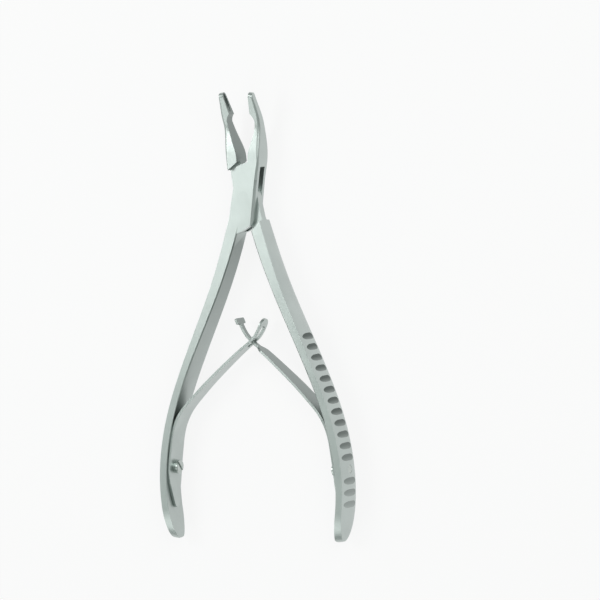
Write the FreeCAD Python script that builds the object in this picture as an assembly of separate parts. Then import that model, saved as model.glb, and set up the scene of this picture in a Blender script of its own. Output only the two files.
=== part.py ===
import FreeCAD, Part
import math
import os
from FreeCAD import Vector

# Bone rongeur with a box joint, jaws curved on the side and a double leaf spring. Millimetres.
# Each half is drawn closed, with the pivot axis on Z and the jaws towards +Y, then turned open.
# Drawing plane: X across the instrument, Y along it, Z through its thickness, front face at +Z.

# Opening, from the closed jaws to the rest position
opening_angle = 16.0

# Box joint
box_thickness = 6.8
neck_thickness = 2.8
neck_side_clearance = 0.05
box_half_width = 4.25
box_top_corner = (-3.75, 9.2)
jaw_crotch = (0.4, 11.5)
shoulder_gap = 0.3
lower_shoulder_corner = (4.6, -8.6)
lower_shoulder_angle = 40.0
lower_shoulder_radius = 2.4
lower_shoulder_foot = 0.9
side_bow_radius = 12.0
side_bow_height = 4.0
side_waist = 0.05
box_corner_radius = 0.6
box_side_bevel = [(-14.0, 0.75), (6.0, 0.75), (17.0, 0.15)]
box_foot = (-4.6, -0.8, -12.3)
neck_play = 0.05
neck_elbow_height = 0.6
neck_elbow_radius = 1.5
neck_foot = [(1.0, -11.6), (1.6, -13.5), (4.9, -13.5)]
jaw_overlap = 1.5
box_jaw_overlap = 0.3
mortise_half_width = 7.0
mortise_reach = 11.7
mortise_side_height = 9.2
pin_radius = 1.75
pin_running_clearance = 0.05

# Jaws: distance from the pivot, outer face, low and high side of the thickness, outer corner radius
jaw_stations = [
    (9.0, 4.3, -3.4, 3.4, 0.3),
    (11.0, 4.35, -3.4, 3.4, 0.5),
    (13.0, 4.35, -3.4, 3.4, 0.75),
    (16.5, 4.15, -3.15, 3.35, 0.95),
    (20.0, 3.85, -2.3, 3.0, 1.0),
    (23.5, 3.6, -0.95, 3.05, 1.0),
    (26.5, 3.35, 0.45, 4.0, 1.0),
    (29.0, 2.85, 1.75, 4.95, 0.95),
    (31.5, 2.2, 3.05, 5.95, 0.8),
    (34.0, 1.5, 4.3, 6.85, 0.6),
    (36.5, 0.9, 5.5, 7.7, 0.4),
]
throat_points = [(12.0, 0.4), (15.5, 0.5), (18.5, 1.15), (22.0, 1.65), (25.0, 1.7)]
heel_distance = 27.2
heel_radius = 0.9
heel_fullness = 0.6
edge_gap = 0.04
tip_distance = 33.3
tip_height = 5.3
tip_radius = 1.15
cup_length = 6.6
cup_width = 1.7
cup_depth = 1.0

# Handles: distance from the pivot, distance from the middle, edge thickness, crown of the outer face, depth
handle_end_distance = 115.8
handle_loft_allowance = 2.2
handle_stations = [
    (8.0, 2.35, 4.1, 0.2, 6.8),
    (18.0, 4.1, 3.9, 0.5, 7.3),
    (30.0, 6.75, 3.45, 0.8, 7.9),
    (45.0, 11.05, 3.0, 0.95, 8.7),
    (60.0, 15.45, 2.6, 1.0, 9.5),
    (76.0, 19.0, 2.4, 1.0, 9.9),
    (92.0, 19.85, 2.4, 1.0, 9.9),
    (104.0, 18.2, 2.3, 0.9, 9.9),
    (handle_end_distance + handle_loft_allowance, 12.9, 1.7, 0.6, 9.9),
]
handle_depth = 9.5
handle_corner_bevel = 0.35
handle_end_rounding = 10.5
handle_end_nose = 1.3

# Grip grooves across the outer face of each handle
groove_count = 16
groove_pitch = 3.73
groove_start = 48.7
groove_radius = 1.6
groove_depth = 0.55
grooves_before_screw_count = 12

# Leaf springs
spring_thickness = 0.85
spring_width = 8.0
spring_seat_gap = 0.08
spring_foot_length = 13.6
spring_foot_end_width = 2.0
spring_foot_taper = 0.75
spring_flank_radius = 6.0
leaf_shoulder_radius = 20.0
leaf_flank_radius = 10.0
leaf_parallel_length = 1.5
stem_corner_radius = 0.8
head_corner_radius = 0.45
roundness = 0.92
lift_off_distance = 78.4
hinge_share = 0.13
hinge_gap = 0.06
crossing_distance = 47.4
crossing_slope = 38.0
leaf_root_pull = 6.5
leaf_crossing_pull = 9.0
leaf_point_shares = (0.27, 0.42, 0.6, 0.8, 1.0)
leaf_tip = (4.9, 7.4)
leaf_tip_pull = 3.2
leaf_end_width = 4.6
slot_width = 2.4
slot_before_crossing = 2.6
slot_end_wall = 2.6
stem_width = 1.8
stem_before_crossing = 3.6
head_length = 2.0
head_width = 5.0

# Spring screws
screw_radius = 1.3
screw_clearance = 0.05
screw_head_radius = 2.25
screw_head_height = 1.6
screw_head_gap = 0.05
screw_head_edge = 0.25
screw_slot_width = 0.75
screw_slot_depth = 0.75
screw_slot_turn = 45.0
screw_end_set_back = 0.1

# Working values that follow from the sizes above
half_opening = opening_angle / 2
x_axis = Vector(1, 0, 0)
y_axis = Vector(0, 1, 0)
z_axis = Vector(0, 0, 1)
origin = Vector(0, 0, 0)
touching = 1e-6
beyond = 4 * box_thickness
slot_reach = 5 * screw_head_radius
foot_point_count = 6
strip_point_steps = 14


def turned(shape, degrees):
    """A copy of the shape turned about the pivot axis."""
    copy = shape.copy()
    copy.rotate(origin, z_axis, degrees)
    return copy


def turned_point(point, degrees):
    """A point turned about the pivot axis."""
    angle = math.radians(degrees)
    x = point.x * math.cos(angle) - point.y * math.sin(angle)
    y = point.x * math.sin(angle) + point.y * math.cos(angle)
    return Vector(x, y, point.z)


def mirrored(shape):
    """The left-hand copy of a right-hand shape."""
    return shape.mirror(origin, x_axis)


def outline(corners):
    """A closed wire through corners (x, y, radius), with an arc of that radius at each corner."""
    count = len(corners)
    arcs = []
    for index, (x, y, radius) in enumerate(corners):
        here = Vector(x, y, 0)
        before = Vector(corners[index - 1][0], corners[index - 1][1], 0)
        after = Vector(corners[(index + 1) % count][0], corners[(index + 1) % count][1], 0)
        back = (before - here).normalize()
        ahead = (after - here).normalize()
        half_turn = back.getAngle(ahead) / 2
        if radius == 0:
            arcs.append((here, None, here))
            continue
        cut = radius / math.tan(half_turn)
        bisector = (back + ahead).normalize()
        middle = here + bisector * (radius / math.sin(half_turn) - radius)
        arcs.append((here + back * cut, middle, here + ahead * cut))
    edges = []
    for index, (start, middle, end) in enumerate(arcs):
        if middle is not None:
            edges.append(Part.Arc(start, middle, end).toShape())
        following = arcs[(index + 1) % count][0]
        edges.append(Part.LineSegment(end, following).toShape())
    return Part.Wire(edges)


def plate(wire, thickness):
    """A flat solid of a closed wire, centred on the middle plane."""
    face = Part.Face(wire)
    face.translate(Vector(0, 0, -thickness / 2))
    return face.extrude(Vector(0, 0, thickness))


def spline(points):
    """A smooth curve through points."""
    curve = Part.BSplineCurve()
    curve.interpolate(points)
    return curve


def lower_shoulder_height(x):
    """Height of the through half's lower shoulder line at a distance x from the middle."""
    corner_x, corner_y = lower_shoulder_corner
    return corner_y - (corner_x - x) * math.tan(math.radians(lower_shoulder_angle))


def upper_shoulder_slope():
    """Slope of the top edge of the box plates."""
    return (jaw_crotch[1] - box_top_corner[1]) / (jaw_crotch[0] - box_top_corner[0])


def box_body():
    """The two plates of the box in one block, before the mortise is cut."""
    lift = shoulder_gap / math.cos(math.radians(lower_shoulder_angle))
    left, top = box_top_corner
    right = box_half_width
    foot = lower_shoulder_foot
    foot_left, foot_right, foot_height = box_foot
    corners = [
        (left, top, box_corner_radius),
        (jaw_crotch[0], jaw_crotch[1], 0),
        (right, jaw_stations[0][0] + box_jaw_overlap, 0),
        (right - side_waist, side_bow_height, side_bow_radius),
        (right, lower_shoulder_height(right) + lift, lower_shoulder_radius),
        (foot, lower_shoulder_height(foot) + lift, box_corner_radius),
        (foot_right, foot_height, 0),
        (foot_left, foot_height, 0),
        (-right - side_waist, -side_bow_height, side_bow_radius),
        (left, side_bow_height, side_bow_radius),
    ]
    return plate(outline(corners), box_thickness)


def side_bevel():
    """What is ground off the long right-hand edges of the box; the bevel runs out on the jaw."""
    sections = []
    for distance, size in box_side_bevel:
        side = box_half_width - size
        face = box_thickness / 2 - size
        corners = [
            Vector(side - size, distance, face + 2 * size),
            Vector(side + 2 * size, distance, face - size),
            Vector(side + 2 * size, distance, face + 2 * size),
        ]
        sections.append(Part.makePolygon(corners + corners[:1]))
    wedge = Part.makeLoft(sections, True, True)
    return [wedge, wedge.mirror(origin, z_axis)]


def mortise():
    """The space through the box in which the neck swings."""
    side = mortise_half_width
    corners = [
        (-side, mortise_reach, 0),
        (jaw_crotch[0], mortise_reach, 0),
        (side, mortise_side_height, 0),
        (side, -mortise_reach, 0),
        (-jaw_crotch[0], -mortise_reach, 0),
        (-side, -mortise_side_height, 0),
    ]
    return plate(outline(corners), neck_thickness + 2 * neck_side_clearance)


def neck_body():
    """The thin neck of the through half, from its left jaw to its right handle."""
    side = box_half_width - neck_play
    top = jaw_crotch[1] + jaw_overlap
    elbow = neck_elbow_height
    corners = [
        (-side, top, 0),
        (-side - side_waist, side_bow_height, side_bow_radius),
        (-side, -elbow, neck_elbow_radius),
        (neck_foot[0][0], neck_foot[0][1], 0),
        (neck_foot[1][0], neck_foot[1][1], 0),
        (neck_foot[2][0], neck_foot[2][1], 0),
        (side + side_waist, -side_bow_height, side_bow_radius),
        (side, elbow, neck_elbow_radius),
        (-jaw_crotch[0], jaw_crotch[1] + elbow, 0),
        (-jaw_crotch[0], top, 0),
    ]
    return plate(outline(corners), neck_thickness)


def neck_relief():
    """What is ground off the front and back of the through half so that it passes the plates."""
    side = 2 * box_half_width
    slope = upper_shoulder_slope()
    lift = shoulder_gap * math.sqrt(1 + slope * slope)

    def upper(x):
        return box_top_corner[1] + lift + (x - box_top_corner[0]) * slope

    corners = [
        (-side, upper(-side), 0),
        (side, upper(side), 0),
        (side, lower_shoulder_height(side), 0),
        (-side, lower_shoulder_height(-side), 0),
    ]
    whole = plate(outline(corners), beyond)
    return whole.cut(plate(outline(corners), neck_thickness))


def jaw_section(distance, outer, low, high, radius):
    """One cross-section of a jaw: flat inside, flat front and back, rounded outer corners."""
    bend = radius * (1 - math.sqrt(0.5))

    def at(x, z):
        return Vector(x, distance, z)

    edges = [
        Part.LineSegment(at(0, low), at(outer - radius, low)).toShape(),
        Part.Arc(at(outer - radius, low), at(outer - bend, low + bend), at(outer, low + radius)).toShape(),
        Part.LineSegment(at(outer, low + radius), at(outer, high - radius)).toShape(),
        Part.Arc(at(outer, high - radius), at(outer - bend, high - bend), at(outer - radius, high)).toShape(),
        Part.LineSegment(at(outer - radius, high), at(0, high)).toShape(),
        Part.LineSegment(at(0, high), at(0, low)).toShape(),
    ]
    return Part.Wire(edges)


def throat():
    """The recess between the two jaws from the box to the heel of the cutting edge."""
    inner = [Vector(x, y, 0) for y, x in throat_points]
    last = inner[-1]
    heel = Vector(edge_gap, heel_distance, 0)
    turn = Vector(last.x * heel_fullness, heel_distance - heel_radius, 0)
    over_middle = -box_half_width
    base = Vector(inner[0].x, 0, 0)
    top_inner = Vector(edge_gap, 2 * tip_distance, 0)
    top_outer = Vector(over_middle, 2 * tip_distance, 0)
    start = Vector(over_middle, 0, 0)
    edges = [
        Part.LineSegment(start, base).toShape(),
        Part.LineSegment(base, inner[0]).toShape(),
        spline(inner).toShape(),
        Part.Arc(last, turn, heel).toShape(),
        Part.LineSegment(heel, top_inner).toShape(),
        Part.LineSegment(top_inner, top_outer).toShape(),
        Part.LineSegment(top_outer, start).toShape(),
    ]
    return plate(Part.Wire(edges), beyond)


def tip_slope():
    """Angle between the bent cup and the instrument's length."""
    first = jaw_stations[-3]
    last = jaw_stations[-1]
    rise = (last[2] + last[3] - first[2] - first[3]) / 2
    return math.atan2(rise, last[0] - first[0])


def tip_trim():
    """What is taken off beyond the half-round end of the cup."""
    centre = Vector(0, tip_distance, tip_height)
    block = Part.makeBox(beyond, beyond, 2 * beyond, Vector(0, 0, -beyond))
    block.rotate(origin, x_axis, math.degrees(tip_slope()))
    block.translate(centre)
    return block.cut(Part.makeCylinder(tip_radius, beyond, centre, x_axis))


def cup():
    """The oval hollow in the inner face of the bent jaw end."""
    bowl = Part.makeSphere(cup_width / 2)
    stretch = FreeCAD.Matrix()
    stretch.scale(2 * cup_depth / cup_width, cup_length / cup_width, 1)
    bowl = bowl.transformGeometry(stretch)
    bowl.translate(Vector(0, (cup_width - cup_length) / 2, 0))
    bowl.rotate(origin, x_axis, math.degrees(tip_slope()))
    bowl.translate(Vector(0, tip_distance, tip_height))
    return bowl


def jaw():
    """The right jaw, drawn closed: its cutting edge lies just off the middle plane."""
    sections = [jaw_section(*station) for station in jaw_stations]
    solid = Part.makeLoft(sections, True, False)
    solid = solid.cut(throat())
    solid = solid.cut(tip_trim())
    return solid.cut(cup())


def handle_line():
    """The middle line of the right handle's edges, as a curve."""
    return spline([Vector(out, -down, 0) for down, out, *_ in handle_stations])


def handle_value(distance, column):
    """A handle size at a distance from the pivot, read between the two nearest stations."""
    for first, second in zip(handle_stations, handle_stations[1:]):
        if distance <= second[0]:
            break
    share = (distance - first[0]) / (second[0] - first[0])
    return first[column] + share * (second[column] - first[column])


def handle_frame(distance):
    """Point on the handle's middle line at a distance from the pivot, and the outward direction there."""
    line = handle_line()
    cutter = Part.LineSegment(Vector(-beyond, -distance, 0), Vector(beyond, -distance, 0))
    crossing = line.intersect(cutter)[0]
    point = Vector(crossing.X, crossing.Y, 0)
    tangent = line.tangent(line.parameter(point))[0]
    return point, Vector(-tangent.y, tangent.x, 0)


def handle_section(down, out, thickness, crown, depth):
    """One cross-section of the handle, square to its middle line: flat inside with bevels, crowned outside."""
    point, outward = handle_frame(down)
    inner = -thickness / 2
    outer = thickness / 2
    half = depth / 2
    bevel = handle_corner_bevel

    def at(across, z):
        return point + outward * across + Vector(0, 0, z)

    edges = [
        Part.LineSegment(at(inner, -half + bevel), at(inner, half - bevel)).toShape(),
        Part.LineSegment(at(inner, half - bevel), at(inner + bevel, half)).toShape(),
        Part.LineSegment(at(inner + bevel, half), at(outer, half)).toShape(),
        Part.Arc(at(outer, half), at(outer + crown, 0), at(outer, -half)).toShape(),
        Part.LineSegment(at(outer, -half), at(inner + bevel, -half)).toShape(),
        Part.LineSegment(at(inner + bevel, -half), at(inner, -half + bevel)).toShape(),
    ]
    return Part.Wire(edges)


def handle_side_view():
    """The handle seen from the side: ground flat front and back, with a rounded tongue at the end."""
    half = handle_depth / 2
    start = handle_end_distance - handle_end_rounding
    end = Vector(0, -handle_end_distance, 0)
    front = Vector(0, -start, half)
    back = Vector(0, -start, -half)
    tongue = Part.Ellipse(end, front, Vector(0, -start, 0))
    edges = [
        Part.LineSegment(Vector(0, 0, half), front).toShape(),
        Part.ArcOfEllipse(tongue, -math.pi / 2, math.pi / 2).toShape(),
        Part.LineSegment(back, Vector(0, 0, -half)).toShape(),
        Part.LineSegment(Vector(0, 0, -half), Vector(0, 0, half)).toShape(),
    ]
    return Part.Face(Part.Wire(edges)).extrude(Vector(2 * beyond, 0, 0))


def handle_plan_view():
    """The handle seen from the front, as a wide shape that only rounds its end through the thickness."""
    point, outward = handle_frame(handle_end_distance)
    along = Vector(-outward.y, outward.x, 0)
    inner = point - outward * (handle_value(handle_end_distance, 2) / 2)
    outer = point + outward * (handle_value(handle_end_distance, 2) / 2 + handle_value(handle_end_distance, 3))
    flare = outward * handle_end_nose
    start = along * handle_end_rounding
    wide = x_axis * handle_end_distance
    places = [
        (outer, handle_end_nose),
        (outer + start + flare, 0),
        (wide, 0),
        (-wide, 0),
        (inner + start - flare, 0),
        (inner, handle_end_nose / 2),
    ]
    return plate(outline([(place.x, place.y, radius) for place, radius in places]), beyond)


def groove_distances():
    """Distances from the pivot at which the grooves lie, evenly spaced along the handle."""
    line = handle_line()
    point, _ = handle_frame(groove_start)
    first = line.parameter(point)
    distances = []
    for index in range(groove_count):
        place = line.value(line.parameterAtDistance(index * groove_pitch, first))
        distances.append(-place.y)
    return distances


def handle():
    """The right handle with its grooves and screw hole, drawn closed."""
    sections = [handle_section(*station) for station in handle_stations]
    solid = Part.makeLoft(sections, True, False)
    solid = solid.common(handle_side_view()).common(handle_plan_view())
    distances = groove_distances()
    for index, distance in enumerate(distances):
        if index == grooves_before_screw_count:
            continue
        point, outward = handle_frame(distance)
        crest = handle_value(distance, 2) / 2 + handle_value(distance, 3)
        centre = point + outward * (crest + groove_radius - groove_depth)
        base = centre - Vector(0, 0, handle_depth)
        solid = solid.cut(Part.makeCylinder(groove_radius, 2 * handle_depth, base, z_axis))
    return solid.cut(screw_bore())


def screw_place():
    """Point on the handle's inner face under the screw, and the outward direction there."""
    distance = groove_distances()[grooves_before_screw_count]
    point, outward = handle_frame(distance)
    return point - outward * (handle_value(distance, 2) / 2), outward


def screw_bore():
    """The hole for a spring screw, through the handle and the spring foot."""
    seat, outward = screw_place()
    start = seat - outward * spring_width
    return Part.makeCylinder(screw_radius + screw_clearance, 2 * spring_width, start, outward)


def screw():
    """Cheese-head screw of a spring, its shank ending just under the handle's outer face."""
    seat, outward = screw_place()
    distance = groove_distances()[grooves_before_screw_count]
    under_head = spring_thickness + spring_seat_gap + screw_head_gap
    crest = handle_value(distance, 2) + handle_value(distance, 3)
    top = seat - outward * (under_head + screw_head_height)
    head = Part.makeCylinder(screw_head_radius, screw_head_height, top, outward)
    rim = [edge for edge in head.Edges if edge.Closed and (edge.CenterOfMass - top).Length < touching]
    head = head.makeChamfer(screw_head_edge, rim)
    shank = Part.makeCylinder(screw_radius, under_head + screw_head_height + crest - screw_end_set_back, top, outward)
    slot = Part.makeBox(2 * slot_reach, 2 * screw_slot_depth, screw_slot_width)
    slot.translate(Vector(-slot_reach, -screw_slot_depth, -screw_slot_width / 2))
    slot.rotate(origin, y_axis, screw_slot_turn)
    slot.rotate(origin, z_axis, math.degrees(math.atan2(outward.y, outward.x)) - 90)
    slot.translate(top)
    return head.fuse(shank).cut(slot).removeSplitter()


def seat_curve_points():
    """Middle line points of the spring foot, opened, from its end up to where it lifts off the handle."""
    screw_distance = groove_distances()[grooves_before_screw_count]
    foot_end = screw_distance + spring_foot_length
    points = []
    for index in range(foot_point_count):
        distance = foot_end + (lift_off_distance - foot_end) * index / (foot_point_count - 1)
        point, outward = handle_frame(distance)
        across = handle_value(distance, 2) / 2 + spring_seat_gap + spring_thickness / 2
        points.append(turned_point(point - outward * across, half_opening))
    return points


def bezier(points, share):
    """Point of a cubic Bezier curve."""
    rest = 1 - share
    start, first, second, end = points
    return start * rest**3 + first * (3 * rest**2 * share) + second * (3 * rest * share**2) + end * share**3


def spring_middle_line():
    """Middle line of the right spring at rest, and on it the hinge line, the crossing and the tip."""
    foot = seat_curve_points()
    lift_off = foot[-1]
    rise = (foot[-1] - foot[-2]).normalize()
    slope = math.radians(crossing_slope)
    crossing = Vector(0, -crossing_distance, 0)
    climb = Vector(-math.cos(slope), math.sin(slope), 0)
    leaf = [lift_off, lift_off + rise * leaf_root_pull, crossing - climb * leaf_crossing_pull, crossing]
    hinge = bezier(leaf, hinge_share)
    tip = crossing + Vector(-leaf_tip[0], leaf_tip[1], 0)
    pull = crossing + climb * leaf_tip_pull
    points = foot + [hinge] + [bezier(leaf, share) for share in leaf_point_shares]
    points.append(bezier([crossing, pull, pull, tip], 0.5))
    points.append(tip)
    return spline(points), hinge, crossing, tip


def spring_strip(line, first, last, round_start):
    """A stretch of the right spring as a strip of full width, square or half-round at its start."""
    half = spring_thickness / 2
    inner = []
    outer = []
    for index in range(strip_point_steps + 1):
        place = first + (last - first) * index / strip_point_steps
        point = line.value(place)
        tangent = line.tangent(place)[0]
        side = Vector(-tangent.y, tangent.x, 0)
        inner.append(point + side * half)
        outer.append(point - side * half)
    edges = [
        spline(inner).toShape(),
        Part.LineSegment(inner[-1], outer[-1]).toShape(),
        spline(list(reversed(outer))).toShape(),
    ]
    if round_start:
        behind = line.value(first) - line.tangent(first)[0] * half
        edges.append(Part.Arc(outer[0], behind, inner[0]).toShape())
    else:
        edges.append(Part.LineSegment(outer[0], inner[0]).toShape())
    return plate(Part.Wire(edges), spring_width)


def foot_plan():
    """Side view of the foot: full width past the screw, then tapering to a narrow rounded end."""
    line, hinge, *_ = spring_middle_line()
    start = line.value(line.FirstParameter)
    half = spring_width / 2
    end_half = spring_foot_end_width / 2
    end_radius = end_half * roundness
    taper_top = start.y + spring_foot_length * spring_foot_taper
    corners = [
        (start.y, -end_half, end_radius),
        (start.y, end_half, end_radius),
        (taper_top, half, spring_flank_radius),
        (hinge.y + beyond, half, 0),
        (hinge.y + beyond, -half, 0),
        (taper_top, -half, spring_flank_radius),
    ]
    face = Part.Face(outline(corners))
    face.rotate(origin, z_axis, 90)
    face.rotate(origin, y_axis, 90)
    return face.extrude(Vector(2 * beyond, 0, 0))


def leaf_plan(slotted):
    """Plan of the leaf along its chord: it narrows to the crossing, then ends in a slot or a T-head."""
    _, hinge, crossing, tip = spring_middle_line()
    chord = (crossing - hinge).normalize()
    length = (crossing - hinge).Length
    end = (tip - hinge).dot(chord)
    half = spring_width / 2
    end_half = leaf_end_width / 2
    root = [(-spring_width, 0), (0, leaf_shoulder_radius)]
    if slotted:
        side = [(along, half, radius) for along, radius in root]
        side.append((length - slot_before_crossing - leaf_parallel_length, end_half, leaf_flank_radius))
        side.append((end, end_half, end_half * roundness))
    else:
        stem_half = stem_width / 2
        head_half = head_width / 2
        stem_start = length - stem_before_crossing
        head_start = end - head_length
        side = [(along, half, radius) for along, radius in root]
        side.append((stem_start - leaf_parallel_length, end_half, stem_corner_radius))
        side.append((stem_start, stem_half, stem_corner_radius))
        side.append((head_start, stem_half, head_corner_radius))
        side.append((head_start, head_half, head_corner_radius))
        side.append((end, head_half, head_corner_radius))
    other_side = [(along, -across, radius) for along, across, radius in reversed(side)]
    solid = plate(outline(side + other_side), 2 * beyond)
    if slotted:
        slot_half = slot_width / 2
        slot_radius = slot_half * roundness
        slot_start = length - slot_before_crossing
        slot_end = end - slot_end_wall
        slot = [
            (slot_start, -slot_half, slot_radius),
            (slot_start, slot_half, slot_radius),
            (slot_end, slot_half, slot_radius),
            (slot_end, -slot_half, slot_radius),
        ]
        solid = solid.cut(plate(outline(slot), 2 * beyond))
    solid.rotate(origin, x_axis, 90)
    solid.rotate(origin, z_axis, math.degrees(math.atan2(chord.y, chord.x)))
    solid.translate(hinge)
    return solid


def spring_pieces(slotted):
    """Foot and leaf of the right spring, parted by a round joint at the hinge line."""
    line, hinge, *_ = spring_middle_line()
    hinge_place = line.parameter(hinge)
    leaf = spring_strip(line, hinge_place, line.LastParameter, True)
    leaf = leaf.common(leaf_plan(slotted))
    foot = spring_strip(line, line.FirstParameter, hinge_place, False)
    foot = foot.common(foot_plan())
    base = hinge - Vector(0, 0, spring_width)
    socket = Part.makeCylinder(spring_thickness / 2 + hinge_gap, 2 * spring_width, base, z_axis)
    bore = turned(screw_bore(), half_opening)
    return foot.cut(socket).cut(bore), leaf


def box_half():
    """Right jaw, box and left handle in one piece."""
    solid = box_body().fuse([jaw(), mirrored(handle())])
    solid = solid.cut([mortise()] + side_bevel())
    hole = Part.makeCylinder(pin_radius, beyond, Vector(0, 0, -beyond / 2), z_axis)
    return turned(solid.cut(hole).removeSplitter(), -half_opening)


def through_half():
    """Left jaw, neck and right handle in one piece."""
    ends = mirrored(jaw()).fuse(handle()).cut(neck_relief())
    solid = neck_body().fuse(ends)
    hole_radius = pin_radius + pin_running_clearance
    hole = Part.makeCylinder(hole_radius, beyond, Vector(0, 0, -beyond / 2), z_axis)
    return turned(solid.cut(hole).removeSplitter(), half_opening)


def pivot_pin():
    """The pin through the box, flush with both faces."""
    return Part.makeCylinder(pin_radius, box_thickness, Vector(0, 0, -box_thickness / 2), z_axis)


def main():
    os.makedirs("parts", exist_ok=True)
    right_screw = turned(screw(), half_opening)
    slotted_foot, slotted_leaf = spring_pieces(True)
    head_foot, head_leaf = spring_pieces(False)
    nodes = {
        "box_half": box_half(),
        "through_half": through_half(),
        "pivot_pin": pivot_pin(),
        "slotted_spring_foot": mirrored(slotted_foot),
        "slotted_spring_leaf": mirrored(slotted_leaf),
        "slotted_spring_screw": mirrored(right_screw),
        "t_head_spring_foot": head_foot,
        "t_head_spring_leaf": head_leaf,
        "t_head_spring_screw": right_screw,
    }
    whole = Part.makeCompound(list(nodes.values())).optimalBoundingBox()
    shift = Vector(-(whole.XMin + whole.XMax) / 2, -(whole.YMin + whole.YMax) / 2, -whole.ZMin)
    for name, shape in nodes.items():
        shape.translate(shift)
        solids = shape.Solids
        print(name, "valid", shape.isValid(), "solids", len(solids), "volume", round(shape.Volume, 2))
        solids[0].exportStep("parts/" + name + ".step")
    _, hinge, *_ = spring_middle_line()
    print("pivot", tuple(round(value, 4) for value in shift))
    print("right leaf hinge", tuple(round(value, 4) for value in (hinge + shift)))
    print("overall", round(whole.XLength, 3), round(whole.YLength, 3), round(whole.ZLength, 3))


main()
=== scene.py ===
import math

import bmesh
import bpy
import numpy as np
from mathutils import Matrix, Vector


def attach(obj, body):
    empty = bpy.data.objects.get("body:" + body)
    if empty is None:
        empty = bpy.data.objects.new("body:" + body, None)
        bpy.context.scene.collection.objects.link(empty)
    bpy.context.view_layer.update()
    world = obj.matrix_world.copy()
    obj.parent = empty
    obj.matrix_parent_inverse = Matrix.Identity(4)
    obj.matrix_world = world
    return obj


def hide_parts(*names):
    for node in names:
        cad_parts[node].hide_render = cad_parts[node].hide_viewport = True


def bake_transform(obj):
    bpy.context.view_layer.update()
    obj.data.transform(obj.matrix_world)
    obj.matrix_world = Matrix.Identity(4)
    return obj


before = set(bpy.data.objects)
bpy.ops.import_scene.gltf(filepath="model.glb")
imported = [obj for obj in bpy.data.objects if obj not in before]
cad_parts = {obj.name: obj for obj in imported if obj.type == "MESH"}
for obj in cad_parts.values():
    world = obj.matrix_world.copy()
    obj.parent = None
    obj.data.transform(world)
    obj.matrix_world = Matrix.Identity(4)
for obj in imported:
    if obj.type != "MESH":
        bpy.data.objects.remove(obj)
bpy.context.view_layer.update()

# The camera comes first. It looks down on the instrument as it lies, from the right of its
# length, and from far enough away that its two handles come out nearly the same size.
pivot = Vector((0.0, 0.039305, 0.00475))
viewing_side = math.radians(29.0)
viewing_rise = math.radians(4.0)
viewing_roll = math.radians(1.8)
camera_distance = 2.2
view_height = 0.1955
aim_offset = (0.0169, -0.0339)

toward_camera = Vector((
    math.sin(viewing_side) * math.cos(viewing_rise),
    math.sin(viewing_rise),
    math.cos(viewing_side) * math.cos(viewing_rise),
))
level_right = Vector((0, 1, 0)).cross(toward_camera).normalized()
level_up = toward_camera.cross(level_right)
picture_right = level_right * math.cos(viewing_roll) - level_up * math.sin(viewing_roll)
picture_up = level_up * math.cos(viewing_roll) + level_right * math.sin(viewing_roll)
aim = pivot + picture_right * aim_offset[0] + picture_up * aim_offset[1]
camera_data = bpy.data.cameras.new("camera")
camera_data.lens = camera_data.sensor_width * camera_distance / view_height
camera_data.clip_start = 0.05
camera = bpy.data.objects.new("camera", camera_data)
turn = Matrix((picture_right, picture_up, toward_camera)).transposed().to_4x4()
camera.matrix_world = Matrix.Translation(aim + toward_camera * camera_distance) @ turn
bpy.context.scene.collection.objects.link(camera)
bpy.context.scene.camera = camera
bpy.context.scene.view_settings.view_transform = "Standard"


# The table top: a matt white sheet. The camera and the steel see it nearly white, and it keeps
# the soft shadow of what lies on it.
floor_half = 1.5
floor_drop = 0.00002
white_share = 0.85


def linear(hex_colour):
    """An sRGB colour such as #C0C4C2 as linear red, green, blue and alpha."""
    parts = [int(hex_colour[place:place + 2], 16) / 255 for place in (1, 3, 5)]
    return tuple(p / 12.92 if p <= 0.04045 else ((p + 0.055) / 1.055) ** 2.4 for p in parts) + (1.0,)


def add_node(material, kind, settings=None, **inputs):
    """Adds a node to a material or a world.

    settings are the node's own values, inputs are socket values or (node, output) links.
    """
    node = material.node_tree.nodes.new(kind)
    for name, value in (settings or {}).items():
        setattr(node, name, value)
    for name, value in inputs.items():
        socket = node.inputs[int(name[2:])] if name.startswith("in") and name[2:].isdigit() \
            else node.inputs[name.replace("_", " ")]
        if isinstance(value, tuple) and isinstance(value[0], bpy.types.Node):
            material.node_tree.links.new(value[0].outputs[value[1]], socket)
        else:
            socket.default_value = value
    return node


def new_material(name):
    """An empty node material and its output node."""
    material = bpy.data.materials.new(name)
    material.use_nodes = True
    material.node_tree.nodes.clear()
    return material, add_node(material, "ShaderNodeOutputMaterial")


matt_white, floor_output = new_material("matt_white_sheet")
sheet = add_node(matt_white, "ShaderNodeBsdfDiffuse", Color=linear("#F2F2F2"))
plain = add_node(matt_white, "ShaderNodeEmission", Color=(1, 1, 1, 1), Strength=1.0)
rays = add_node(matt_white, "ShaderNodeLightPath")
seen = add_node(matt_white, "ShaderNodeMath", {"operation": "MAXIMUM"},
                in0=(rays, "Is Camera Ray"), in1=(rays, "Is Glossy Ray"))
share = add_node(matt_white, "ShaderNodeMath", {"operation": "MULTIPLY"},
                 in0=(seen, 0), in1=white_share)
floor_mix = add_node(matt_white, "ShaderNodeMixShader",
                     in0=(share, 0), in1=(sheet, 0), in2=(plain, 0))
matt_white.node_tree.links.new(floor_mix.outputs[0], floor_output.inputs["Surface"])

floor_mesh = bpy.data.meshes.new("table_top")
corners = [(-1, -1), (1, -1), (1, 1), (-1, 1)]
corner_places = [(x * floor_half, y * floor_half, -floor_drop) for x, y in corners]
floor_mesh.from_pydata(corner_places, [], [(0, 1, 2, 3)])
floor_mesh.materials.append(matt_white)
floor = bpy.data.objects.new("table_top", floor_mesh)
bpy.context.scene.collection.objects.link(floor)


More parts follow.
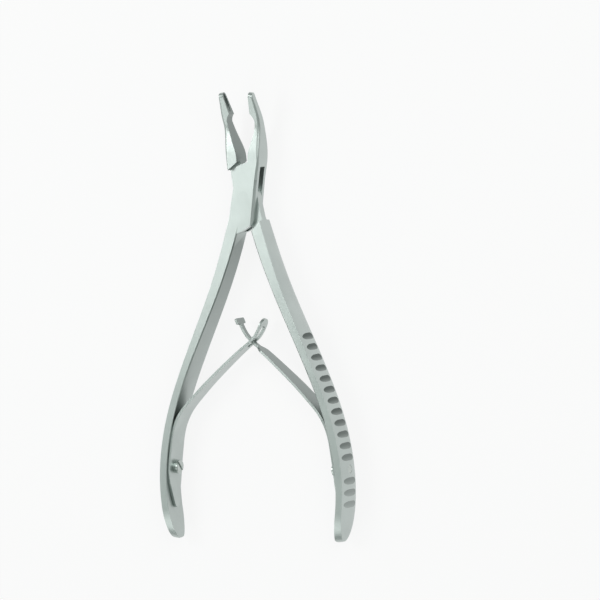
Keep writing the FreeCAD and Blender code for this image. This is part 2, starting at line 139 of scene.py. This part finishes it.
# The light: a pale room whose walls are darker than its ceiling, which gives the rounded edges
# of the steel their soft dark bands, and three soft lamps, one of them for the jaws' slopes. The
# camera itself sees the room as plain white. A direction's height is 0 at the horizon and 1 overhead.
wall_top = 0.1
ceiling_start = 0.85
room = bpy.data.worlds.new("room")
room.use_nodes = True
background = room.node_tree.nodes["Background"]
height = add_node(room, "ShaderNodeSeparateXYZ",
                  Vector=(add_node(room, "ShaderNodeTexCoord"), "Generated"))
ceiling = add_node(room, "ShaderNodeMapRange", Value=(height, "Z"),
                   From_Min=wall_top, From_Max=ceiling_start)
tones = add_node(room, "ShaderNodeMix", {"data_type": "RGBA"}, in0=(ceiling, 0),
                 in6=linear("#A0A6A3"), in7=linear("#BBC1BE"))
sight = add_node(room, "ShaderNodeLightPath")
seen_white = add_node(room, "ShaderNodeMix", {"data_type": "RGBA"}, in0=(sight, "Is Camera Ray"),
                      in6=(tones, 2), in7=(1, 1, 1, 1))
room.node_tree.links.new(seen_white.outputs[2], background.inputs["Color"])
background.inputs["Strength"].default_value = 1.0
bpy.context.scene.world = room


def soft_lamp(name, place, size, power):
    """A square lamp of a size in metres that faces the middle of the instrument."""
    data = bpy.data.lights.new(name, "AREA")
    data.size = size
    data.energy = power
    lamp = bpy.data.objects.new(name, data)
    lamp.location = place
    lamp.rotation_euler = Vector(place).to_track_quat("Z", "Y").to_euler()
    bpy.context.scene.collection.objects.link(lamp)


soft_lamp("key_lamp", (-0.26, 0.11, 0.36), 0.2, 0.38)
soft_lamp("fill_lamp", (0.40, 0.20, 0.45), 0.4, 0.9)
soft_lamp("jaw_lamp", (-0.58, -0.70, 0.76), 0.6, 1.4)


# The two halves. Each is one forging of martensitic stainless steel, hardened, ground on its
# flat sides and glass-bead finished, which leaves a soft grey satin with no grain to speak of.
# The pits' width is in millimetres, their depth in metres.
pit_width = 0.18
pit_depth = 0.00003
pit_strength = 0.12
gloss_spread = 0.05


def satin_steel(name, colour, worn_colour, roughness, cloud_size,
                hollow_shade_colour=None, inner_shade_colour=None):
    """Bead-blasted stainless steel: soft clouds of tone, a fine pitted bump and uneven gloss.

    cloud_size is the width in millimetres of the patches in which the tone changes. Where the
    mesh's two shade attributes are 1, the two darker colours show as painted shade: in the grooves
    and the jaws' cups, and on the faces that look toward another part.
    """
    material, output = new_material(name)
    place = add_node(material, "ShaderNodeTexCoord")
    clouds = add_node(material, "ShaderNodeTexNoise", Vector=(place, "Object"), Scale=1000 / cloud_size,
                      Detail=3.0, Roughness=0.5)
    tone = add_node(material, "ShaderNodeMapRange", Value=(clouds, 0), From_Min=0.3, From_Max=0.7)
    colours = add_node(material, "ShaderNodeMix", {"data_type": "RGBA"}, in0=(tone, 0),
                       in6=linear(colour), in7=linear(worn_colour))
    for attribute, other in (("inside", inner_shade_colour), ("groove", hollow_shade_colour)):
        if other is None:
            continue
        mask = add_node(material, "ShaderNodeAttribute", {"attribute_name": attribute})
        colours = add_node(material, "ShaderNodeMix", {"data_type": "RGBA"}, in0=(mask, "Fac"),
                           in6=(colours, 2), in7=linear(other))
    pits = add_node(material, "ShaderNodeTexNoise", Vector=(place, "Object"), Scale=1000 / pit_width,
                    Detail=2.0, Roughness=0.6)
    gloss = add_node(material, "ShaderNodeMapRange", Value=(pits, 0), From_Min=0.25, From_Max=0.75,
                     To_Min=roughness - gloss_spread, To_Max=roughness + gloss_spread)
    bump = add_node(material, "ShaderNodeBump", Strength=pit_strength, Distance=pit_depth,
                    Height=(pits, 0))
    steel = add_node(material, "ShaderNodeBsdfPrincipled", Base_Color=(colours, 2), Metallic=1.0,
                     Roughness=(gloss, 0), Normal=(bump, 0))
    material.node_tree.links.new(steel.outputs[0], output.inputs["Surface"])
    return material


# The two darker colours are painted shade: the first darkens the grooves and the jaws' cups, the second
# the faces that look toward the other half.
forged_satin = satin_steel("bead_blasted_stainless", "#BAC2BF", "#C1C9C6", 0.38, 9.0,
                           hollow_shade_colour="#5A625F", inner_shade_colour="#8E9693")

# The handle's shape, in millimetres from the pivot, with the half closed and on the right.
half_opening = math.radians(8.0)
handle_places = [
    (2.35, -8.0), (4.1, -18.0), (6.75, -30.0), (11.05, -45.0), (15.45, -60.0),
    (19.0, -76.0), (19.85, -92.0), (18.2, -104.0), (12.9, -118.0),
]
handle_thickness = [4.1, 3.9, 3.45, 3.0, 2.6, 2.4, 2.4, 2.3, 1.7]
handle_crown = [0.2, 0.5, 0.8, 0.95, 1.0, 1.0, 1.0, 0.9, 0.6]
handle_half_depth = 4.95
groove_start = 48.7
groove_pitch = 3.73
least_sink = 0.1
groove_half_width = 1.25
groove_half_length = 3.5
screw_end_number = 12
groove_numbers = [number for number in range(16) if number != screw_end_number]
# How strong the grooves' painted shade is, from full on the upper ones to half on the last, and how it
# fades from each one's upper flank to its lower flank.
shade_fade_numbers = [0, 7, 11, 15]
shade_fade_strengths = [1.0, 1.0, 0.8, 0.5]
flank_middle = 0.9
flank_fade = 0.35
line_samples = 1200
point_blocks = 40

# Which edges are broken, in metres, and which faces get painted shade, in millimetres. A
# facing is the least share of a face's normal that points the way that is meant.
join_distance = 1e-7
flat_angle = math.radians(0.4)
sharp_angle = math.radians(30)
edge_break = 0.00012
jaw_back_rounding = 0.0003
jaw_back_facing = 0.5
jaw_back_start = 0.012
pin_clear_radius = 0.0023
tip_start = 0.030
tip_facing = 0.3
# Where the painted shade of the jaws' cups goes, and how strong it is.
cup_start = 28.0
cup_edge = 0.08
cup_depth = 1.0
cup_facing = 0.12
cup_shade_strength = 0.8
# The inner faces' painted shade by distance along the closed half: strongest just below the box and
# fading down the handle, none around the box, and full on the jaws.
inner_facing = 0.6
inner_places = [-65, -15, -12, 4, 8]
inner_shade_strengths = [0.15, 1.0, 0.0, 0.0, 1.0]


def smooth_line(points, places):
    """Places on a natural cubic spline through points, at shares of the length of its chords.

    The second derivatives M solve h0*M0 + 2*(h0+h1)*M1 + h1*M2 = 6*(slope1 - slope0), with
    none at the ends.
    """
    points = np.array(points, float)
    steps = np.linalg.norm(np.diff(points, axis=0), axis=1)
    knots = np.concatenate([[0], np.cumsum(steps)])
    count = len(points)
    matrix = np.eye(count)
    right_side = np.zeros((count, points.shape[1]))
    slopes = np.diff(points, axis=0) / steps[:, None]
    for row in range(1, count - 1):
        matrix[row, row - 1:row + 2] = steps[row - 1], 2 * (steps[row - 1] + steps[row]), steps[row]
        right_side[row] = 6 * (slopes[row] - slopes[row - 1])
    bends = np.linalg.solve(matrix, right_side)
    places = np.asarray(places) * knots[-1]
    index = np.clip(np.searchsorted(knots, places) - 1, 0, count - 2)
    step = steps[index][:, None]
    before = (places - knots[index])[:, None]
    after = step - before
    cubic = (bends[index] * after ** 3 + bends[index + 1] * before ** 3) / (6 * step)
    first = (points[index] / step - bends[index] * step / 6) * after
    second = (points[index + 1] / step - bends[index + 1] * step / 6) * before
    return cubic + first + second


def closed_places(points, side):
    """Points in millimetres from the pivot, turned back to the closed half and mirrored to the right."""
    places = points * 1000 - np.array(pivot) * 1000
    angle = -half_opening * side
    x = (places[:, 0] * math.cos(angle) - places[:, 1] * math.sin(angle)) * side
    y = places[:, 0] * math.sin(angle) + places[:, 1] * math.cos(angle)
    return np.stack([x, y, places[:, 2]], axis=1)


def painted_groove_shade(points, side):
    """How much painted shade each point gets: above 0 only in the grooves, under the crown.

    The crown's height is its middle height times 1 - (z / half depth) squared. The painted shade
    is darkest on the upper flank of each of the grooves, and weaker on the last ones.
    """
    places = closed_places(points, side)
    line = smooth_line(handle_places, np.linspace(0, 1, line_samples))
    lengths = np.concatenate([[0], np.cumsum(np.linalg.norm(np.diff(line, axis=0), axis=1))])
    ahead = np.gradient(line, axis=0)
    ahead /= np.linalg.norm(ahead, axis=1)[:, None]
    outward = np.stack([-ahead[:, 1], ahead[:, 0]], axis=1)
    start = np.interp(groove_start, -line[:, 1], lengths)
    nearest = np.empty(len(places), int)
    for block in np.array_split(np.arange(len(places)), point_blocks):
        gaps = places[block, None, :2] - line[None, :, :]
        nearest[block] = np.argmin((gaps ** 2).sum(axis=2), axis=1)
    across = ((places[:, :2] - line[nearest]) * outward[nearest]).sum(axis=1)
    down = -line[nearest, 1]
    stations = [-y for x, y in handle_places]
    crown = np.interp(down, stations, handle_crown) * (1 - (places[:, 2] / handle_half_depth) ** 2)
    crest = np.interp(down, stations, handle_thickness) / 2 + crown
    run = lengths[nearest] - start
    mask = np.zeros(len(places))
    for number in groove_numbers:
        place = (run - number * groove_pitch) / groove_half_width
        strength = np.interp(number, shade_fade_numbers, shade_fade_strengths)
        dark = strength * np.clip(flank_middle - flank_fade * place, 0, 1)
        mask = np.where(np.abs(place) < 1, dark, mask)
    sunk = (crest - across > least_sink) & (across > 0) & (np.abs(places[:, 2]) < groove_half_length)
    return mask * sunk


def finished(piece, material, bevel, soft_bevel=None, is_soft=None, is_crisp=None):
    """Joins a mesh's doubles, turns its faces outwards, breaks its sharp edges and shades it smooth.

    The edges for which is_soft is true are rounded by soft_bevel instead, and those for which
    is_crisp is true stay sharp.
    """
    widest = soft_bevel or bevel
    shape = bmesh.new()
    shape.from_mesh(piece.data)
    bmesh.ops.remove_doubles(shape, verts=shape.verts, dist=join_distance)
    bmesh.ops.dissolve_limit(shape, angle_limit=flat_angle, verts=shape.verts, edges=shape.edges)
    bmesh.ops.recalc_face_normals(shape, faces=shape.faces)
    weight = shape.edges.layers.float.new("bevel_weight_edge")
    for edge in shape.edges:
        if len(edge.link_faces) == 2 and edge.calc_face_angle() > sharp_angle:
            if is_crisp and is_crisp(edge):
                edge.smooth = False
            else:
                edge[weight] = 1.0 if is_soft and is_soft(edge) else bevel / widest
    for face in shape.faces:
        face.smooth = True
    shape.to_mesh(piece.data)
    shape.free()
    piece.data.materials.clear()
    piece.data.materials.append(material)
    rounding = piece.modifiers.new("rounding", "BEVEL")
    rounding.width = widest
    rounding.segments = 3 if soft_bevel else 2
    rounding.limit_method = "WEIGHT"
    level = piece.modifiers.new("level_flats", "WEIGHTED_NORMAL")
    level.keep_sharp = True
    return piece


def forged_half(name, node, body, handle_side):
    """A half as it leaves the polisher: the CAD node's surface with its sharp edges broken."""
    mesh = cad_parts[node].data.copy()
    mesh.name = name
    piece = bpy.data.objects.new(name, mesh)
    bpy.context.scene.collection.objects.link(piece)

    def is_jaw_back(edge):
        """Whether an edge lies between the upper and the outer face of the jaw."""
        middle = (edge.verts[0].co + edge.verts[1].co) / 2 - pivot
        upward = max(face.normal.z for face in edge.link_faces)
        outward = max(-handle_side * face.normal.x for face in edge.link_faces)
        return middle.y > jaw_back_start and min(upward, outward) > jaw_back_facing

    def is_pin_rim_or_tip(edge):
        """Whether an edge is the rim of the pin's hole or crosses the upper side of the jaw's tip."""
        middle = (edge.verts[0].co + edge.verts[1].co) / 2 - pivot
        upward = min(face.normal.z for face in edge.link_faces)
        is_rim = math.hypot(middle.x, middle.y) < pin_clear_radius
        return is_rim or (middle.y > tip_start and upward > tip_facing)

    finished(piece, forged_satin, edge_break, jaw_back_rounding, is_jaw_back, is_pin_rim_or_tip)
    # Painted shade for the grooves and the jaws' cups, kept as a face attribute.
    centres = np.empty(len(mesh.polygons) * 3)
    mesh.polygons.foreach_get("center", centres)
    normals = np.empty(len(mesh.polygons) * 3)
    mesh.polygons.foreach_get("normal", normals)
    centres = centres.reshape(-1, 3)
    normals = normals.reshape(-1, 3)
    closed = closed_places(centres, handle_side)
    inward = np.where(closed[:, 1] < 0, -handle_side, handle_side) * normals[:, 0]
    from_middle = np.abs(closed[:, 0])
    hollow = (from_middle > cup_edge) & (from_middle < cup_depth) & (inward > cup_facing)
    in_cup = (closed[:, 1] > cup_start) & hollow
    groove = mesh.attributes.new("groove", "FLOAT", "FACE")
    dark = np.where(in_cup, cup_shade_strength, painted_groove_shade(centres, handle_side))
    groove.data.foreach_set("value", dark)
    points = np.empty(len(mesh.vertices) * 3)
    mesh.vertices.foreach_get("co", points)
    corner_points = np.empty(len(mesh.loops), int)
    mesh.loops.foreach_get("vertex_index", corner_points)
    corner_counts = np.empty(len(mesh.polygons), int)
    mesh.polygons.foreach_get("loop_total", corner_counts)
    # Painted shade on the faces that look toward the other half, by distance along the half.
    down = closed_places(points.reshape(-1, 3), handle_side)[corner_points, 1]
    inner_shade_amount = np.interp(down, inner_places, inner_shade_strengths)
    inner = mesh.attributes.new("inside", "FLOAT", "CORNER")
    inner.data.foreach_set("value", inner_shade_amount * np.repeat(inward > inner_facing, corner_counts))
    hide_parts(node)
    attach(piece, body)


forged_half("box_half_forging", "box_half", "box_side", -1)
forged_half("through_half_forging", "through_half", "through_side", 1)


# The pivot pin: a plain pin of the same steel, pressed in and ground flush with both faces.
pin_satin = satin_steel("ground_pin_steel", "#B7BFBC", "#BEC6C3", 0.37, 5.0)
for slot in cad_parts["pivot_pin"].material_slots:
    slot.material = pin_satin


# The two leaf springs. Each is a strip of spring steel blanked to shape, bent and clamped to
# the inner face of its handle; one ends in a slot and the other in a T-head that hooks through it.
# Lengths are in millimetres unless said otherwise, and a run is counted from the foot's end.
strip_thickness = 0.85
strip_width = 8.0
foot_length = 13.6
foot_end_width = 2.0
taper_share = 0.75
tip_end_width = 4.6
slot_width = 2.4
slot_lead = 2.6
slot_margin = 2.6
stem_width = 1.8
stem_lead = 3.6
head_width = 5.0
head_length = 2.0
head_corner = 0.5
least_half_width = 0.02
strip_columns = 5
strip_edge_break = 0.0001  # metres
handle_facing = 0.4
hinge_run = 30.58
crossing_run = 67.50
full_run = 76.59
strip_points = [
    (30.66, -63.14), (31.06, -56.77), (30.87, -50.40), (30.09, -44.06), (28.92, -37.79),
    (26.21, -32.06), (21.99, -27.28), (17.43, -22.82), (12.68, -18.55), (7.84, -14.40),
    (2.85, -10.41), (-1.99, -6.26), (-4.9, -0.69),
]


def around_end(centre, end, count=9):
    """Runs that share a quarter circle evenly between its centre and its end."""
    return centre + (end - centre) * np.sin(np.linspace(0, math.pi / 2, count))


def spring_blank(slotted):
    """Runs along the strip, its half width at each, and the half width of its slot (0 where whole)."""
    half = strip_width / 2
    foot_half = foot_end_width / 2
    tip_half = tip_end_width / 2
    taper_end = foot_length * taper_share
    slot_start = crossing_run - slot_lead
    slot_end = full_run - slot_margin
    slot_half = slot_width / 2
    stem_start = crossing_run - stem_lead
    head_start = full_run - head_length
    runs = [
        around_end(foot_half, 0),
        np.linspace(foot_half, taper_end, 10),
        np.linspace(taper_end, full_run, 150),
    ]
    if slotted:
        runs.append(around_end(slot_start + slot_half, slot_start))
        runs.append(around_end(slot_end - slot_half, slot_end))
        runs.append(around_end(full_run - tip_half, full_run, 14))
    else:
        runs.append(np.linspace(stem_start - 2, stem_start + 1, 12))
        runs.append(np.linspace(head_start - 0.15, head_start + 0.15, 4))
        runs.append(around_end(full_run - head_corner, full_run, 6))
    runs = np.unique(np.round(np.concatenate(runs), 4))
    width = np.interp(
        runs,
        [0, taper_end - 2, taper_end + 2, hinge_run],
        [foot_half + 0.1, half - 0.5, half, half],
    )
    into_end = np.clip(foot_half - runs, 0, foot_half)
    width *= np.sqrt(1 - (into_end / foot_half) ** 2)
    slot = np.zeros_like(runs)
    if slotted:
        leaf = np.interp(
            runs,
            [hinge_run, crossing_run - 5.0, crossing_run - 3.0, full_run],
            [half, tip_half + 0.22, tip_half, tip_half],
        )
        into_tip = np.clip(runs - (full_run - tip_half), 0, tip_half)
        leaf = leaf * np.sqrt(1 - (into_tip / tip_half) ** 2)
        in_slot = (runs > slot_start) & (runs < slot_end)
        from_end = np.minimum(np.minimum(runs - slot_start, slot_end - runs), slot_half)
        slot[in_slot] = np.sqrt(slot_half ** 2 - (slot_half - from_end[in_slot]) ** 2)
    else:
        leaf = np.interp(
            runs,
            [hinge_run, stem_start - 1.6, stem_start - 0.6, stem_start + 0.6,
             head_start - 0.1, head_start + 0.1, full_run],
            [half, tip_half + 0.05, tip_half - 0.4, stem_width / 2,
             stem_width / 2, head_width / 2, head_width / 2],
        )
        into_corner = np.clip(runs - (full_run - head_corner), 0, head_corner)
        leaf = leaf - head_corner + np.sqrt(head_corner ** 2 - into_corner ** 2)
    width = np.maximum(np.where(runs < hinge_run, width, leaf), least_half_width)
    return runs, width, slot


def leaf_spring(name, slotted, side):
    """A bent strip: the line's place at each run, moved half the thickness along the line's normal
    to either face, and across by a share of the way from the slot's half width to the blank's.
    """
    runs, width, slot = spring_blank(slotted)
    line = smooth_line(strip_points, runs / full_run)
    ahead = np.gradient(line, runs, axis=0)
    ahead /= np.linalg.norm(ahead, axis=1)[:, None]
    normal = np.stack([-ahead[:, 1], ahead[:, 0]], axis=1)
    columns = strip_columns
    shares = np.linspace(0, 1, columns)
    across = slot[:, None] + (width - slot)[:, None] * shares[None, :]
    verts = []
    faces = []
    rows = len(runs)
    for half_sign in (1, -1):
        for face_sign in (1, -1):
            flat = line + normal * face_sign * strip_thickness / 2
            grid = np.empty((rows, columns, 3))
            grid[:, :, 0] = flat[:, None, 0] * side
            grid[:, :, 1] = flat[:, None, 1]
            grid[:, :, 2] = pivot.z * 1000 + across * half_sign
            verts.append(grid.reshape(-1, 3))
    verts = np.concatenate(verts) / 1000
    block = rows * columns
    row, column = np.meshgrid(np.arange(rows - 1), np.arange(columns - 1), indexing="ij")
    corner = (row * columns + column).ravel()
    for half_index, half_sign in enumerate((1, -1)):
        for face_index, face_sign in enumerate((1, -1)):
            start = (half_index * 2 + face_index) * block
            quad = np.stack([corner, corner + 1, corner + columns + 1, corner + columns], axis=1) + start
            if half_sign * face_sign * side < 0:
                quad = quad[:, ::-1]
            faces.append(quad)
        top = half_index * 2 * block
        bottom = top + block
        steps = np.arange(rows - 1)
        outer = columns - 1
        wall = np.stack([
            top + steps * columns + outer, bottom + steps * columns + outer,
            bottom + (steps + 1) * columns + outer, top + (steps + 1) * columns + outer,
        ], axis=1)
        if half_sign * side < 0:
            wall = wall[:, ::-1]
        faces.append(wall)
        steps = steps[(slot[:-1] > 0) | (slot[1:] > 0)]
        inner = np.stack([
            top + steps * columns, top + (steps + 1) * columns,
            bottom + (steps + 1) * columns, bottom + steps * columns,
        ], axis=1)
        if half_sign * side < 0:
            inner = inner[:, ::-1]
        faces.append(inner)
        for end_row, flip in ((0, 1), (rows - 1, -1)):
            cells = np.arange(columns - 1) + end_row * columns
            cap = np.stack([top + cells, bottom + cells, bottom + cells + 1, top + cells + 1], axis=1)
            if half_sign * side * flip < 0:
                cap = cap[:, ::-1]
            faces.append(cap)
    mesh = bpy.data.meshes.new(name)
    mesh.from_pydata(verts.tolist(), [], np.concatenate(faces).tolist())
    mesh.update()
    # Painted shade on the side of the strip that faces its handle.
    handle_side_shade = [float(polygon.normal.x * side > handle_facing) for polygon in mesh.polygons]
    mesh.attributes.new("inside", "FLOAT", "FACE").data.foreach_set("value", handle_side_shade)
    piece = bpy.data.objects.new(name, mesh)
    bpy.context.scene.collection.objects.link(piece)
    return piece


# The darker colour is painted shade on the side of each strip that faces its handle.
spring_satin = satin_steel("polished_spring_strip", "#B4BCB9", "#BCC4C1", 0.32, 6.0,
                           inner_shade_colour="#949C99")
for name, slotted, side, handle_body, leaf_body, nodes in (
    ("slotted_leaf_spring", True, -1, "box_side", "slotted_leaf",
     ("slotted_spring_foot", "slotted_spring_leaf")),
    ("t_head_leaf_spring", False, 1, "through_side", "t_head_leaf",
     ("t_head_spring_foot", "t_head_spring_leaf")),
):
    spring = finished(leaf_spring(name, slotted, side), spring_satin, strip_edge_break)
    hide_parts(*nodes)
    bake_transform(spring)


# The spring screws: slotted cheese heads turned from bright stainless bar, driven from the
# inside of each handle.
screw_bright = satin_steel("turned_bright_steel", "#B8C0BC", "#C2C9C5", 0.26, 3.0)
for node in ("slotted_spring_screw", "t_head_spring_screw"):
    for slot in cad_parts[node].material_slots:
        slot.material = screw_bright
